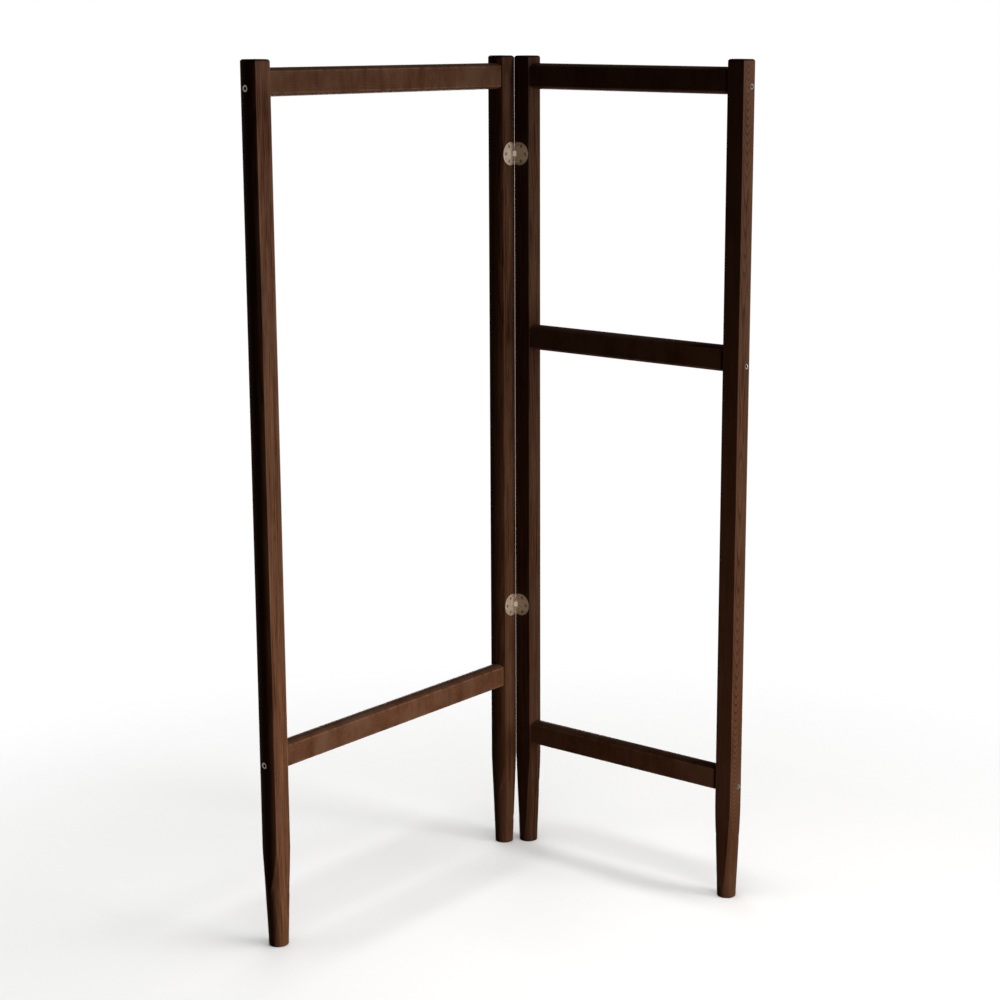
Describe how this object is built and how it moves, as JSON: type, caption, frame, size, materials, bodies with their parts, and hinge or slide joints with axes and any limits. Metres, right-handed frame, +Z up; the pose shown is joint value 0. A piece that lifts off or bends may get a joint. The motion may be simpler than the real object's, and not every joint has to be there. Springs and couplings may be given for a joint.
{
  "type": "folding clothes rack",
  "caption": "Free-standing folding clothes rack of dark stained wood: two unequal ladder panels on tapered feet, joined by round mortised hinges.",
  "frame": {"origin": "middle of the rack's footprint, on the floor", "axes": "+Z up; the left panel runs along X and the right panel along Y, both facing the fold's open side, towards -X and -Y"},
  "size_m": [0.5972, 0.462, 1.3],
  "materials": {
    "walnut_stained_beech": "dark walnut stain under satin lacquer",
    "beech_dowel": "raw",
    "zinc_plated_steel": "bright zinc",
    "antique_nickel": "brushed antique nickel"
  },
  "bodies": {
    "left_panel": {"left_outer_stile": "walnut_stained_beech", "left_hinge_stile": "walnut_stained_beech", "left_top_rail": "walnut_stained_beech", "left_lower_rail": "walnut_stained_beech", "left_top_bolts": "zinc_plated_steel", "left_top_inserts": "zinc_plated_steel", "left_top_dowels": "beech_dowel", "left_lower_bolts": "zinc_plated_steel", "left_lower_inserts": "zinc_plated_steel", "left_lower_dowels": "beech_dowel", "upper_hinge_left_leaf": "antique_nickel", "upper_hinge_left_screws": "antique_nickel", "lower_hinge_left_leaf": "antique_nickel", "lower_hinge_left_screws": "antique_nickel"},
    "right_panel": {"right_hinge_stile": "walnut_stained_beech", "right_outer_stile": "walnut_stained_beech", "right_top_rail": "walnut_stained_beech", "right_middle_rail": "walnut_stained_beech", "right_lower_rail": "walnut_stained_beech", "right_top_bolts": "zinc_plated_steel", "right_top_inserts": "zinc_plated_steel", "right_top_dowels": "beech_dowel", "right_middle_bolts": "zinc_plated_steel", "right_middle_inserts": "zinc_plated_steel", "right_middle_dowels": "beech_dowel", "right_lower_bolts": "zinc_plated_steel", "right_lower_inserts": "zinc_plated_steel", "right_lower_dowels": "beech_dowel", "upper_hinge_right_leaf": "antique_nickel", "upper_hinge_right_screws": "antique_nickel", "upper_hinge_pin": "zinc_plated_steel", "lower_hinge_right_leaf": "antique_nickel", "lower_hinge_right_screws": "antique_nickel", "lower_hinge_pin": "zinc_plated_steel"}
  },
  "joints": [
    {"name": "fold", "type": "hinge", "parent": "left_panel", "child": "right_panel", "pos_m": [0.2685, 0.201, 0.78], "axis": [0, 0, 1], "range_deg": [-90, 90]}
  ]
}
